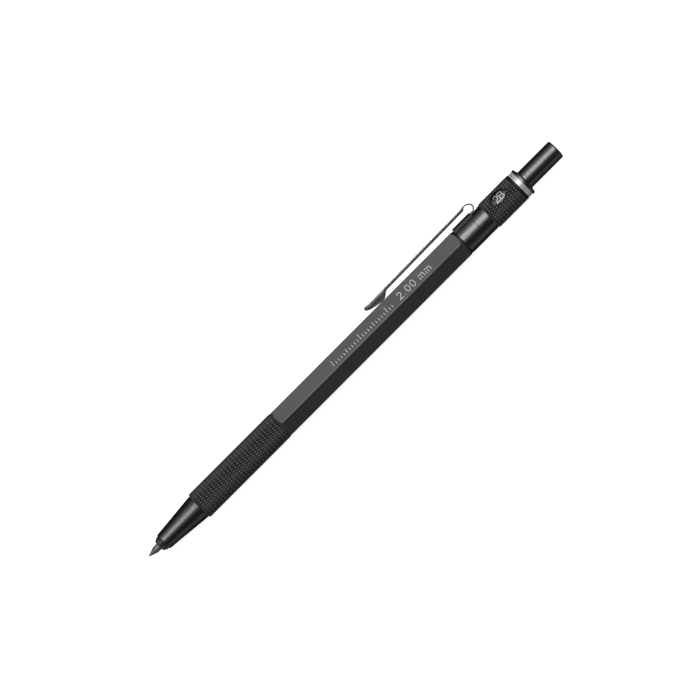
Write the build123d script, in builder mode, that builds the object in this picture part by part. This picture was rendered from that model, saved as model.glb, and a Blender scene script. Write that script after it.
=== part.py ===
from build123d import *
import math
import os

# Clutch lead holder (mechanical pencil for 2.0 mm leads).
#
# Frame: +X runs along the pencil from the lead to the push button, +Z is up,
# and the pencil lies on Z = 0 with one flat of its hexagonal barrel down.
# Every station "s" below is a distance in mm from the point of the lead,
# and every radius is measured from the pencil's axis.

os.makedirs("parts", exist_ok=True)

# ---------------------------------------------------------------- overall
length = 152.95            # point of the lead to the crown of the cap
axis_height = 4.185        # the knurled indicator sleeve is the lowest piece
axis_y = -0.9724           # sideways shift that centres the box, clip included
clip_angle = 30.0          # direction of the clip, from +Y towards +Z

# ---------------------------------------------------------------- lead
lead_r = 1.00
lead_tip_r = 0.10
lead_cone_end = 2.60
lead_end = 120.0

# ---------------------------------------------------------------- clutch
jaw_front = 3.92
jaw_bore_r = 1.02
jaw_relief_r = 1.15
jaw_head_r = 2.185
jaw_head_back = 5.32
jaw_seat_r = 2.03          # radius of the rear taper at the nose's mouth
jaw_stem_r = 1.50
jaw_root = 16.00           # where the jaws flex
jaw_pivot_r = 1.30
jaw_count = 3
slit_width = 0.25
root_gap = 0.04
shank_end = 30.0
mouth = 5.45               # front edge of the nose cone
seat_slope = math.tan(math.radians(15))

# ---------------------------------------------------------------- nose and grip
nose_end = 18.82
nose_spigot_end = 24.0
nose_spigot_r = 3.20
nose_bore_r = 2.40
counterbore_r = 2.75
seat_washer_front = 18.0
seat_washer_back = 18.6
grip_front = 18.90
grip_back = 49.50
grip_r = 4.155
grip_chamfer = 0.28
grip_spigot_end = 56.0
thread_r = 3.10            # pitch radius of the barrel's two threads

# ---------------------------------------------------------------- barrel
barrel_front = 49.55
barrel_back = 117.40
across_flats = 8.00
corner_cut = 0.66          # turned chamfer that trims the six corners at both ends
corner_round = 0.14

# ---------------------------------------------------------------- push tube, spring
tube_front = 26.0
tube_back = 143.0
tube_r = 1.85
tube_bore_r = 1.15
thrust_front = 38.0
thrust_back = 40.0
thrust_r = 2.50
spring_mean_r = 2.15
spring_wire_r = 0.20
spring_turns = 9

# ---------------------------------------------------------------- head
core_front = 110.0
core_flange_r = 3.88
core_flange_back = 117.70
core_r = 3.19
core_bore_r = 2.86
core_narrow_bore_r = 2.30
core_back = 139.6
collar_back = 123.60
collar_r = 3.93
rear_collar_back = 127.50
drum_r = 3.57
sleeve_front = 127.54
sleeve_knurl_back = 137.80
sleeve_back = 138.56
sleeve_r = 4.185
sleeve_band_r = 4.15
sleeve_bore_r = 3.62
groove_front = 136.4
groove_back = 137.2
groove_r = 3.37
friction_ring_r = 3.60
ring_front = 138.60
ring_back = 140.00
ring_r = 4.01
end_ring_r = 4.17
end_ring_back = 141.10

# indicator window: a lens between two arcs, centred on the sleeve
window_s = 132.75
window_length = 5.50
window_width = 3.40

# ---------------------------------------------------------------- button
button_r = 2.795
button_front = 128.0
button_back = 148.38
button_relief = 0.60        # the button tapers by 0.02 mm over its last 0.6 mm, to a hairline joint
button_plug_r = 2.20
button_plug_bore_r = 2.22
cap_front = 148.42
plug_front = 144.0

# ---------------------------------------------------------------- clip
sheet = 0.34
clip_width = 3.60
strap_width = 2.60
channel_depth = 1.00
leg_front = 118.6
leg_mid = 3.98             # mid-thickness of the clip's leg, above the axis
bridge_front = 118.0
bridge_back = 124.4
bridge_top = 4.35
bridge_width = 3.80
wall_back = 124.5
arm_slope = math.tan(math.radians(0.77))
foot_gap = 0.02

# ---------------------------------------------------------------- planes
x0 = -length / 2
origin = (x0, axis_y, axis_height)
pencil_axis = Axis(origin, (1, 0, 0))
profile = Plane(origin=origin, x_dir=(1, 0, 0), z_dir=(0, -1, 0))   # (s, radius)
ca, sa = math.cos(math.radians(clip_angle)), math.sin(math.radians(clip_angle))
clip_plane = Plane(origin=origin, x_dir=(1, 0, 0), z_dir=(0, -sa, ca))  # (s, height over the axis)
clip_top = Plane(origin=origin, x_dir=(1, 0, 0), z_dir=(0, ca, sa))     # (s, sideways), seen from the clip


def station(s):
    """Plane square to the pencil at station s, with local x along +Y and local y along +Z."""
    return Plane(origin=(x0 + s, axis_y, axis_height), x_dir=(0, 1, 0), z_dir=(1, 0, 0))


# ================================================================ lead
with BuildPart() as lead:
    with BuildSketch(profile) as lead_profile:
        with BuildLine():
            Polyline(
                (0, 0), (0, lead_tip_r * 0.6), (0.06, lead_tip_r + 0.02), (lead_cone_end, lead_r),
                (lead_end - 0.15, lead_r), (lead_end, lead_r - 0.15), (lead_end, 0), close=True,
            )
        make_face()
    revolve(axis=pencil_axis)
lead.part.label = "lead"
export_step(lead.part, "parts/lead.step")

# ================================================================ clutch jaws
# One turned profile, cut into three by parallel slits. The wedge that keeps one
# jaw has its point half a slit off the axis, so its flanks are parallel to the slits.
taper_end = mouth + (jaw_seat_r - jaw_stem_r) / seat_slope
wedge_shift = slit_width / 2 / math.sin(math.pi / jaw_count)
jaw_directions = [120.0, 240.0, 0.0]

for number, direction in enumerate(jaw_directions, start=1):
    with BuildPart() as jaw:
        with BuildSketch(profile) as jaw_profile:
            with BuildLine():
                Polyline(
                    (jaw_front, jaw_bore_r), (jaw_front, 1.32), (jaw_front + 0.05, 1.50),
                    (4.24, 1.73), (4.50, 1.86), (4.77, 2.00), (4.86, 2.10), (5.03, 2.14),
                    (5.26, jaw_head_r), (jaw_head_back, jaw_head_r - 0.02),
                    (mouth - 0.06, jaw_seat_r + 0.06 * seat_slope),
                    (taper_end, jaw_stem_r), (jaw_root, jaw_stem_r), (jaw_root, jaw_relief_r),
                    (8.4, jaw_relief_r), (8.0, jaw_bore_r), close=True,
                )
            make_face()
        revolve(axis=pencil_axis)
        a = math.radians(direction)
        half = math.pi / jaw_count
        reach = 6.0
        tip = (wedge_shift * math.cos(a), wedge_shift * math.sin(a))
        with BuildSketch(station(jaw_front - 1)) as wedge:
            with BuildLine():
                Polyline(
                    tip,
                    (tip[0] + reach * math.cos(a - half), tip[1] + reach * math.sin(a - half)),
                    (tip[0] + reach * math.cos(a), tip[1] + reach * math.sin(a)),
                    (tip[0] + reach * math.cos(a + half), tip[1] + reach * math.sin(a + half)),
                    close=True,
                )
            make_face()
        extrude(amount=jaw_root - jaw_front + 2, mode=Mode.INTERSECT)
    jaw.part.label = f"clutch_jaw_{number}"
    export_step(jaw.part, f"parts/clutch_jaw_{number}.step")

# ================================================================ clutch shank
with BuildPart() as clutch_shank:
    with BuildSketch(profile) as shank_profile:
        with BuildLine():
            Polyline(
                (jaw_root + root_gap, jaw_relief_r), (jaw_root + root_gap, jaw_stem_r),
                (shank_end, jaw_stem_r), (shank_end, jaw_relief_r), close=True,
            )
        make_face()
    revolve(axis=pencil_axis)
clutch_shank.part.label = "clutch_shank"
export_step(clutch_shank.part, "parts/clutch_shank.step")

# ================================================================ nose cone
with BuildPart() as nose_cone:
    with BuildSketch(profile) as nose_profile:
        seat_depth = 0.75
        with BuildLine():
            Polyline(
                (mouth, jaw_seat_r + 0.02), (mouth, 2.22), (mouth + 0.19, 2.46),
                (5.83, 2.506), (6.62, 2.57), (7.95, 2.691), (10.60, 2.932), (13.25, 3.184),
                (15.90, 3.444), (18.00, 3.634), (nose_end - 0.08, 3.73), (nose_end, 3.70),
                (nose_end, nose_spigot_r), (nose_spigot_end - 0.3, nose_spigot_r),
                (nose_spigot_end, nose_spigot_r - 0.3), (nose_spigot_end, counterbore_r),
                (seat_washer_front, counterbore_r), (seat_washer_front, nose_bore_r),
                (7.6, nose_bore_r),
                (mouth + seat_depth + 0.4, jaw_seat_r + 0.02 - seat_depth * seat_slope),
                (mouth + seat_depth, jaw_seat_r + 0.02 - seat_depth * seat_slope), close=True,
            )
        make_face()
    revolve(axis=pencil_axis)
nose_cone.part.label = "nose_cone"
export_step(nose_cone.part, "parts/nose_cone.step")

# ================================================================ spring seat washer
with BuildPart() as spring_seat:
    with BuildSketch(station(seat_washer_front)) as washer_sketch:
        Circle(counterbore_r - 0.02)
        Circle(1.65, mode=Mode.SUBTRACT)
    extrude(amount=seat_washer_back - seat_washer_front)
spring_seat.part.label = "spring_seat"
export_step(spring_seat.part, "parts/spring_seat.step")

# ================================================================ return spring
with BuildPart() as return_spring:
    spring_start = seat_washer_back + spring_wire_r + 0.04
    spring_end = thrust_front - spring_wire_r - 0.04
    with BuildLine() as spring_path:
        Helix(
            pitch=(spring_end - spring_start) / spring_turns, height=spring_end - spring_start,
            radius=spring_mean_r, center=(x0 + spring_start, axis_y, axis_height), direction=(1, 0, 0),
        )
    with BuildSketch(Plane(origin=spring_path.line @ 0, z_dir=spring_path.line % 0)) as wire_section:
        Circle(spring_wire_r)
    sweep(path=spring_path.line, is_frenet=True)
return_spring.part.label = "return_spring"
export_step(return_spring.part, "parts/return_spring.step")

# ================================================================ thrust collar on the push tube
with BuildPart() as thrust_collar:
    with BuildSketch(station(thrust_front)) as thrust_sketch:
        Circle(thrust_r)
        Circle(tube_r, mode=Mode.SUBTRACT)
    extrude(amount=thrust_back - thrust_front)
    chamfer(thrust_collar.edges().filter_by(GeomType.CIRCLE).sort_by(Axis.X)[-1:], 0.2)
thrust_collar.part.label = "thrust_collar"
export_step(thrust_collar.part, "parts/thrust_collar.step")

# ================================================================ push tube (lead reservoir)
with BuildPart() as lead_tube:
    with BuildSketch(profile) as tube_profile:
        with BuildLine():
            Polyline(
                (tube_front, jaw_stem_r), (tube_front, tube_r - 0.15), (tube_front + 0.3, tube_r),
                (tube_back, tube_r), (tube_back, tube_bore_r + 0.3), (tube_back - 0.3, tube_bore_r),
                (shank_end, tube_bore_r), (shank_end, jaw_stem_r), close=True,
            )
        make_face()
    revolve(axis=pencil_axis)
lead_tube.part.label = "lead_tube"
export_step(lead_tube.part, "parts/lead_tube.step")

# ================================================================ grip sleeve
with BuildPart() as grip_sleeve:
    with BuildSketch(profile) as grip_profile:
        with BuildLine():
            Polyline(
                (grip_front, nose_spigot_r), (grip_front, grip_r - grip_chamfer),
                (grip_front + grip_chamfer, grip_r), (grip_back - grip_chamfer, grip_r),
                (grip_back, grip_r - grip_chamfer), (grip_back, thread_r),
                (grip_spigot_end - 0.3, thread_r), (grip_spigot_end, thread_r - 0.3),
                (grip_spigot_end, counterbore_r - 0.05), (nose_spigot_end + 0.1, counterbore_r - 0.05),
                (nose_spigot_end + 0.1, nose_spigot_r), close=True,
            )
        make_face()
    revolve(axis=pencil_axis)
grip_sleeve.part.label = "grip_sleeve"
export_step(grip_sleeve.part, "parts/grip_sleeve.step")

# ================================================================ hexagonal barrel
with BuildPart() as barrel:
    with BuildSketch(station(barrel_front)) as hexagon:
        RegularPolygon(across_flats / 2, 6, major_radius=False)
    extrude(amount=barrel_back - barrel_front)
    fillet(barrel.edges().filter_by(Axis.X), corner_round)
    with BuildSketch(profile) as corner_profile:
        flat = across_flats / 2
        with BuildLine():
            Polyline(
                (barrel_front, 0), (barrel_front, flat), (barrel_front + corner_cut, flat + corner_cut),
                (barrel_back - corner_cut, flat + corner_cut), (barrel_back, flat), (barrel_back, 0),
                close=True,
            )
        make_face()
    revolve(axis=pencil_axis, mode=Mode.INTERSECT)
    with BuildSketch(station(barrel_front)) as barrel_bore:
        Circle(thread_r)
    extrude(amount=barrel_back - barrel_front, mode=Mode.SUBTRACT)
barrel.part.label = "barrel"
export_step(barrel.part, "parts/barrel.step")

# ================================================================ head core
# Screws into the barrel's back end and carries the clip collar, drum and rings.
with BuildPart() as head_core:
    with BuildSketch(profile) as core_profile:
        with BuildLine():
            Polyline(
                (core_front, core_narrow_bore_r), (core_front, thread_r - 0.3), (core_front + 0.3, thread_r),
                (barrel_back, thread_r), (barrel_back, core_flange_r), (core_flange_back, core_flange_r),
                (core_flange_back, core_r), (core_back, core_r), (core_back, core_bore_r),
                (121.0, core_bore_r), (120.4, core_narrow_bore_r), close=True,
            )
        make_face()
    revolve(axis=pencil_axis)
head_core.part.label = "head_core"
export_step(head_core.part, "parts/head_core.step")

# ================================================================ clip: one strip of sheet in three nodes
# Centre line of the strip, in the clip plane: leg, a 45 degree rise, a tight arc
# round the back, a wide arc over the top, and the arm, which falls slightly towards the foot.
bend_r1, bend_r2 = 1.00, 2.00
apex = (126.44, 5.11)
d45, d125, d_arm = math.radians(45), math.radians(125), math.radians(180.77)
bend_a = (apex[0] - bend_r1 * (1 - math.sin(d45)), apex[1] - bend_r1 * math.cos(d45))
bend_b = (
    bend_a[0] + bend_r1 * (math.sin(d125) - math.sin(d45)),
    bend_a[1] + bend_r1 * (math.cos(d45) - math.cos(d125)),
)
bend_c = (
    bend_b[0] + bend_r2 * (math.sin(d_arm) - math.sin(d125)),
    bend_b[1] + bend_r2 * (math.cos(d125) - math.cos(d_arm)),
)
rise_start = (bend_a[0] - (bend_a[1] - leg_mid), leg_mid)
turn_r = 0.40
turn_t = turn_r * math.tan(d45 / 2)
leg_end = (rise_start[0] - turn_t, leg_mid)
turn_end = (rise_start[0] + turn_t * math.cos(d45), leg_mid + turn_t * math.sin(d45))


def offset_bend(h):
    """The bend's line moved h to its left: arc starts, middles and ends."""
    def at(p, d):
        return (p[0] - h * math.sin(d), p[1] + h * math.cos(d))

    def along(p, r, d0, d1):
        return (p[0] + r * (math.sin(d1) - math.sin(d0)), p[1] + r * (math.cos(d0) - math.cos(d1)))

    m0, m1, m2 = d45 / 2, (d45 + d125) / 2, (d125 + d_arm) / 2
    return [
        at(leg_end, 0), at(along(leg_end, turn_r, 0, m0), m0), at(turn_end, d45),
        at(bend_a, d45), at(along(bend_a, bend_r1, d45, m1), m1), at(bend_b, d125),
        at(along(bend_b, bend_r2, d125, m2), m2), at(bend_c, d_arm),
    ]


left, right = offset_bend(sheet / 2), offset_bend(-sheet / 2)

with BuildPart() as clip_bend:
    with BuildSketch(clip_plane) as bend_profile:
        with BuildLine():
            for side in (left, right):
                ThreePointArc(side[0], side[1], side[2])
                Line(side[2], side[3])
                ThreePointArc(side[3], side[4], side[5])
                ThreePointArc(side[5], side[6], side[7])
            Line(left[0], right[0])
            Line(left[7], right[7])
        make_face()
    extrude(amount=strap_width / 2, both=True)
clip_bend.part.label = "clip_bend"
export_step(clip_bend.part, "parts/clip_bend.step")

with BuildPart() as clip_leg:
    with BuildSketch(clip_plane) as leg_profile:
        with BuildLine():
            Polyline(
                (leg_front, leg_mid - sheet / 2), (leg_end[0], leg_mid - sheet / 2),
                (leg_end[0], leg_mid + sheet / 2), (leg_front, leg_mid + sheet / 2), close=True,
            )
        make_face()
    extrude(amount=strap_width / 2, both=True)
    fillet(clip_leg.edges().filter_by(Axis(origin, (0, ca, sa))).sort_by(Axis.X)[:2], 0.5)
clip_leg.part.label = "clip_leg"
export_step(clip_leg.part, "parts/clip_leg.step")


def arm_top(s):
    """Height of the arm's outer face over the axis."""
    return bend_c[1] + sheet / 2 - (bend_c[0] - s) * arm_slope


tip_s = 86.60
heel_s = 94.75
with BuildPart() as clip_arm:
    # side view of the folded sheet: a channel whose walls deepen into the foot
    with BuildSketch(clip_plane) as arm_profile:
        with BuildLine():
            Polyline(
                (bend_c[0] - (bend_c[0] - wall_back), arm_top(wall_back)),
                (tip_s + 0.35, arm_top(tip_s) - 0.02), (tip_s + 0.08, arm_top(tip_s) - 0.12),
                (tip_s, arm_top(tip_s) - 0.30),
            )
            Line((tip_s, arm_top(tip_s) - 0.30), (tip_s, 5.42))
            Spline(
                (tip_s, 5.42), (87.02, 5.04), (87.81, 4.70), (88.61, 4.46), (89.40, 4.27), (90.50, 4.10),
                (91.70, 4.00 + foot_gap), (92.60, 4.09),
            )
            Spline((92.60, 4.09), (93.20, 4.36), (93.70, 4.80), (94.15, 5.18), (heel_s, arm_top(heel_s) - channel_depth))
            Line((heel_s, arm_top(heel_s) - channel_depth), (wall_back, arm_top(wall_back) - channel_depth))
            Line((wall_back, arm_top(wall_back) - channel_depth), (wall_back, arm_top(wall_back)))
        make_face()
    extrude(amount=clip_width / 2, both=True)
    # rounded shoulders where the sheet folds down
    fillet(
        clip_arm.faces().filter_by(GeomType.PLANE).sort_by(lambda f: f.area)[-3:].edges()
        .filter_by(lambda e: e.length > 30 and abs((e @ 0.5 - Vector(*origin)).dot(Vector(0, ca, sa)) - arm_top(105.7)) < 0.25),
        0.45,
    )
    # hollow of the channel, open downwards and at the back
    with BuildSketch(clip_plane) as hollow_profile:
        with BuildLine():
            Polyline(
                (tip_s + sheet + 0.2, arm_top(tip_s) - sheet), (wall_back + 1, arm_top(wall_back + 1) - sheet),
                (wall_back + 1, 2.0), (tip_s + sheet + 0.2, 2.0), close=True,
            )
        make_face()
    extrude(amount=clip_width / 2 - sheet, both=True, mode=Mode.SUBTRACT)
    # plan view: the tip is rounded off and the arm narrows a little towards the bend
    with BuildSketch(clip_top) as plan:
        with BuildLine():
            Polyline((tip_s + 1.3, clip_width / 2), (wall_back, 1.6), (wall_back, -1.6), (tip_s + 1.3, -clip_width / 2))
            ThreePointArc((tip_s + 1.3, -clip_width / 2), (tip_s, 0), (tip_s + 1.3, clip_width / 2))
        make_face()
    extrude(amount=10, mode=Mode.INTERSECT)
    # strap that joins the arm to the bend
    with BuildSketch(clip_plane) as strap_profile:
        with BuildLine():
            Polyline(
                (bend_c[0], bend_c[1] + sheet / 2), (wall_back - 0.6, arm_top(wall_back - 0.6)),
                (wall_back - 0.6, arm_top(wall_back - 0.6) - sheet), (bend_c[0], bend_c[1] - sheet / 2), close=True,
            )
        make_face()
    extrude(amount=strap_width / 2, both=True)
clip_arm.part.label = "clip_arm"
export_step(clip_arm.part, "parts/clip_arm.step")

# ================================================================ clip collar
# A ring with a flat bridge over the clip's leg. The bridge reaches a little past the ring.
with BuildPart() as clip_collar:
    with BuildSketch(profile) as collar_profile:
        with BuildLine():
            Polyline(
                (core_flange_back, core_r), (core_flange_back, collar_r - 0.30),
                (core_flange_back + 0.34, collar_r), (collar_back - 0.05, collar_r),
                (collar_back, collar_r - 0.05), (collar_back, core_r), close=True,
            )
        make_face()
    revolve(axis=pencil_axis)
    with BuildSketch(clip_plane) as bridge_profile:
        with BuildLine():
            Polyline(
                (bridge_front, 3.3), (bridge_front, bridge_top - 0.12), (bridge_front + 0.12, bridge_top),
                (bridge_back - 0.25, bridge_top), (bridge_back, bridge_top - 0.08), (bridge_back, 3.3), close=True,
            )
        make_face()
    extrude(amount=bridge_width / 2, both=True)
    # the part of the bridge past the ring clears the rear collar
    with BuildSketch(station(collar_back)) as clear_rear:
        Circle(collar_r)
    extrude(amount=2, mode=Mode.SUBTRACT)
    # the bridge's block is hollow where the core passes
    with BuildSketch(station(core_flange_back)) as core_hole:
        Circle(core_r)
    extrude(amount=10, mode=Mode.SUBTRACT)
    # slot for the leg
    with BuildSketch(clip_plane) as leg_slot:
        with BuildLine():
            Polyline(
                (leg_front - 0.02, leg_mid - sheet / 2), (bridge_back + 1, leg_mid - sheet / 2),
                (bridge_back + 1, leg_mid + sheet / 2 + 0.01), (leg_front - 0.02, leg_mid + sheet / 2 + 0.01), close=True,
            )
        make_face()
    extrude(amount=strap_width / 2 + 0.02, both=True, mode=Mode.SUBTRACT)
clip_collar.part.label = "clip_collar"
export_step(clip_collar.part, "parts/clip_collar.step")

# ================================================================ rear collar
with BuildPart() as rear_collar:
    with BuildSketch(profile) as rear_profile:
        with BuildLine():
            Polyline(
                (collar_back, core_r), (collar_back, collar_r - 0.06), (collar_back + 0.05, collar_r - 0.01),
                (rear_collar_back - 0.12, collar_r - 0.01), (rear_collar_back, collar_r - 0.13),
                (rear_collar_back, core_r), close=True,
            )
        make_face()
    revolve(axis=pencil_axis)
    with BuildSketch(clip_plane) as rear_flat:
        with BuildLine():
            Polyline(
                (collar_back - 1, leg_mid - sheet / 2), (126.6, leg_mid - sheet / 2),
                (126.6, 5.0), (collar_back - 1, 5.0), close=True,
            )
        make_face()
    extrude(amount=strap_width / 2 + 0.02, both=True, mode=Mode.SUBTRACT)
rear_collar.part.label = "rear_collar"
export_step(rear_collar.part, "parts/rear_collar.step")

# ================================================================ grade drum
with BuildPart() as grade_drum:
    with BuildSketch(profile) as drum_profile:
        with BuildLine():
            Polyline(
                (rear_collar_back, core_r), (rear_collar_back, drum_r), (groove_front, drum_r),
                (groove_front, groove_r), (groove_back, groove_r), (groove_back, drum_r),
                (ring_front, drum_r), (ring_front, core_r), close=True,
            )
        make_face()
    revolve(axis=pencil_axis)
grade_drum.part.label = "grade_drum"
export_step(grade_drum.part, "parts/grade_drum.step")

# ================================================================ friction ring
with BuildPart() as friction_ring:
    with BuildSketch(station(groove_front)) as friction_sketch:
        Circle(friction_ring_r)
        Circle(groove_r, mode=Mode.SUBTRACT)
    extrude(amount=groove_back - groove_front)
friction_ring.part.label = "friction_ring"
export_step(friction_ring.part, "parts/friction_ring.step")

# ================================================================ indicator sleeve
with BuildPart() as indicator_sleeve:
    with BuildSketch(profile) as sleeve_profile:
        with BuildLine():
            Polyline(
                (sleeve_front, sleeve_bore_r), (sleeve_front, sleeve_r - 0.22), (sleeve_front + 0.22, sleeve_r),
                (sleeve_knurl_back, sleeve_r), (sleeve_knurl_back + 0.04, sleeve_band_r),
                (sleeve_back - 0.10, sleeve_band_r), (sleeve_back, sleeve_band_r - 0.10),
                (sleeve_back, sleeve_bore_r), close=True,
            )
        make_face()
    revolve(axis=pencil_axis)
    # lens-shaped window on the upper side
    with BuildSketch(Plane(origin=origin, x_dir=(1, 0, 0), z_dir=(0, 0, 1))) as lens:
        with BuildLine():
            ThreePointArc(
                (window_s - window_length / 2, 0), (window_s, window_width / 2), (window_s + window_length / 2, 0)
            )
            ThreePointArc(
                (window_s + window_length / 2, 0), (window_s, -window_width / 2), (window_s - window_length / 2, 0)
            )
        make_face()
    extrude(amount=6, mode=Mode.SUBTRACT)
indicator_sleeve.part.label = "indicator_sleeve"
export_step(indicator_sleeve.part, "parts/indicator_sleeve.step")

# ================================================================ accent ring and end ring
with BuildPart() as accent_ring:
    with BuildSketch(profile) as accent_profile:
        with BuildLine():
            Polyline(
                (ring_front, core_r), (ring_front, ring_r - 0.08), (ring_front + 0.08, ring_r),
                (ring_back - 0.08, ring_r), (ring_back, ring_r - 0.08), (ring_back, core_r + 0.01),
                (core_back, core_r + 0.01), (core_back, core_r), close=True,
            )
        make_face()
    revolve(axis=pencil_axis)
accent_ring.part.label = "accent_ring"
export_step(accent_ring.part, "parts/accent_ring.step")

with BuildPart() as end_ring:
    with BuildSketch(profile) as end_profile:
        with BuildLine():
            Polyline(
                (ring_back, core_bore_r - 0.02), (ring_back, end_ring_r - 0.05), (ring_back + 0.05, end_ring_r),
                (140.62, end_ring_r), (140.70, 4.06), (140.93, 3.20), (end_ring_back, core_bore_r - 0.02),
                close=True,
            )
        make_face()
    revolve(axis=pencil_axis)
end_ring.part.label = "end_ring"
export_step(end_ring.part, "parts/end_ring.step")

# ================================================================ push button
with BuildPart() as push_button:
    with BuildSketch(profile) as button_profile:
        with BuildLine():
            Polyline(
                (button_front, tube_r), (button_front, button_r - 0.3), (button_front + 0.3, button_r),
                (button_back - button_relief, button_r), (button_back - 0.05, button_r - 0.02),
                (button_back, button_r - 0.07),
                (button_back, button_plug_bore_r), (tube_back, button_plug_bore_r), (tube_back, tube_r),
                close=True,
            )
        make_face()
    revolve(axis=pencil_axis)
push_button.part.label = "push_button"
export_step(push_button.part, "parts/push_button.step")

# ================================================================ button cap with its lead pointer
crown, crown_edge_r = 0.13, button_r - 0.42
crown_r = (crown_edge_r ** 2 + crown ** 2) / (2 * crown)
crown_half = math.asin(crown_edge_r / crown_r)

with BuildPart() as button_cap:
    with BuildSketch(profile) as cap_profile:
        with BuildLine():
            Polyline(
                (plug_front, 1.60), (plug_front, button_plug_r - 0.15), (plug_front + 0.2, button_plug_r),
                (cap_front, button_plug_r), (cap_front, button_r - 0.05), (cap_front + 0.05, button_r),
                (length - 0.52, button_r),
            )
            ThreePointArc((length - 0.52, button_r), (length - 0.26, button_r - 0.13), (length - crown, crown_edge_r))
            ThreePointArc(
                (length - crown, crown_edge_r),
                (length - crown_r + crown_r * math.cos(crown_half / 2), crown_r * math.sin(crown_half / 2)),
                (length, 0),
            )
            Polyline((length, 0), (149.6, 0), (149.6, 1.60), (plug_front, 1.60))
        make_face()
    revolve(axis=pencil_axis)
button_cap.part.label = "button_cap"
export_step(button_cap.part, "parts/button_cap.step")

with BuildPart() as pointer_cutter:
    with BuildSketch(profile) as cutter_profile:
        with BuildLine():
            Polyline(
                (plug_front + 0.1, 1.12), (plug_front + 0.1, 1.60), (149.6, 1.60), (149.6, 0),
                (148.6, 0), (148.6, 0.12), (145.6, 1.08), close=True,
            )
        make_face()
    revolve(axis=pencil_axis)
    # cutting slot beside the cone
    with BuildSketch(station(plug_front)) as cutter_slot:
        with Locations((0.55, 0.9)):
            Rectangle(1.5, 0.5)
    extrude(amount=4.6, mode=Mode.SUBTRACT)
pointer_cutter.part.label = "pointer_cutter"
export_step(pointer_cutter.part, "parts/pointer_cutter.step")

# ---------------------------------------------------------------- overall box
pieces = [
    lead, nose_cone, grip_sleeve, barrel, clip_arm, clip_bend, clip_collar, indicator_sleeve, end_ring, button_cap,
]
boxes = [piece.part.bounding_box() for piece in pieces]
print("box low ", *(round(min(getattr(b.min, k) for b in boxes), 4) for k in "XYZ"))
print("box high", *(round(max(getattr(b.max, k) for b in boxes), 4) for k in "XYZ"))
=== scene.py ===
import math

import bmesh
import bpy
from mathutils import Matrix, Vector


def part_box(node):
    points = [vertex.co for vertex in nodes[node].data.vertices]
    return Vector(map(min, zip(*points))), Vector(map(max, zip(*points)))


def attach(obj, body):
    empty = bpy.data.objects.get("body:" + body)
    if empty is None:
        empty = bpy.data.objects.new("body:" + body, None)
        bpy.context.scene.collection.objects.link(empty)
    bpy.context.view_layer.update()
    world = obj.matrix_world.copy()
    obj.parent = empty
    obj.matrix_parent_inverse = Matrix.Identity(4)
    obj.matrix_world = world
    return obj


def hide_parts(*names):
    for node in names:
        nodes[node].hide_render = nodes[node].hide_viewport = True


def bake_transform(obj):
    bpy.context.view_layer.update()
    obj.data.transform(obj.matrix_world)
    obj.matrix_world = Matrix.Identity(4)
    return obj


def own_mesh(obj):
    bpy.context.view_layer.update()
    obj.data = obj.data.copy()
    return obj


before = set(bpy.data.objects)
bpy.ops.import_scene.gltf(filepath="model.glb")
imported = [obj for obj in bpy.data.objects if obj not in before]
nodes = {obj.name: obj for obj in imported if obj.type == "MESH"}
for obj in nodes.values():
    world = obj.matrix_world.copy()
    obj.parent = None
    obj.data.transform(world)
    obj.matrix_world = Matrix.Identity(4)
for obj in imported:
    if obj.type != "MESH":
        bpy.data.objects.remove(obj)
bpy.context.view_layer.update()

MM = 0.001
X0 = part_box("lead")[0].x                      # station 0: the point of the lead
_lo, _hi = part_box("grip_sleeve")
AY, AZ = (_lo.y + _hi.y) / 2, (_lo.z + _hi.z) / 2   # the pencil's axis
SCENE = bpy.context.scene


# ------------------------------------------------------------------ geometry helpers
def at(s, r, deg):
    """Point at station s (mm), radius r (mm) and angle deg, from +Y towards +Z."""
    a = math.radians(deg)
    return Vector((X0 + s * MM, AY + r * MM * math.cos(a), AZ + r * MM * math.sin(a)))


def add(mesh, name):
    obj = bpy.data.objects.new(name, mesh)
    SCENE.collection.objects.link(obj)
    return obj


def from_bmesh(bm, name, smooth=30.0):
    mesh = bpy.data.meshes.new(name)
    bmesh.ops.recalc_face_normals(bm, faces=bm.faces)
    bm.to_mesh(mesh)
    bm.free()
    if smooth is not None:
        mesh.shade_smooth()
        mesh.set_sharp_from_angle(angle=math.radians(smooth))
    return add(mesh, name)


def soften(points, radius=0.05, steps=3, keep=0.06):
    """Rounds the corners of a closed profile. A point is (s, r) or (s, r, corner radius). A support
    point on each side of every arc keeps the flats flat under smooth shading."""
    out = []
    n = len(points)
    for i, p in enumerate(points):
        prev, nxt = points[i - 1], points[(i + 1) % n]
        rad = p[2] if len(p) > 2 else radius
        a, b, c = Vector(prev[:2]), Vector(p[:2]), Vector(nxt[:2])
        u, v = a - b, c - b
        if rad <= 0 or u.length < 1e-6 or v.length < 1e-6:
            out.append(tuple(b))
            continue
        ul, vl = u.length, v.length
        u.normalize()
        v.normalize()
        angle = u.angle(v)
        if angle > math.radians(172):
            out.append(tuple(b))
            continue
        t = min(rad / math.tan(angle / 2), ul * 0.42, vl * 0.42)
        real = t * math.tan(angle / 2)
        p0, p1 = b + u * t, b + v * t
        centre = b + (u + v).normalized() * (real / math.sin(angle / 2))
        e0, e1 = p0 - centre, p1 - centre
        turn = e0.angle_signed(e1)
        k = min(keep, 0.25 * (ul - t))
        if k > 0.004:
            out.append(tuple(p0 + u * k))
        for j in range(steps + 1):
            q = e0.copy()
            q.rotate(Matrix.Rotation(-turn * j / steps, 2))
            out.append(tuple(centre + q))
        k = min(keep, 0.25 * (vl - t))
        if k > 0.004:
            out.append(tuple(p1 + v * k))
    return out


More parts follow.
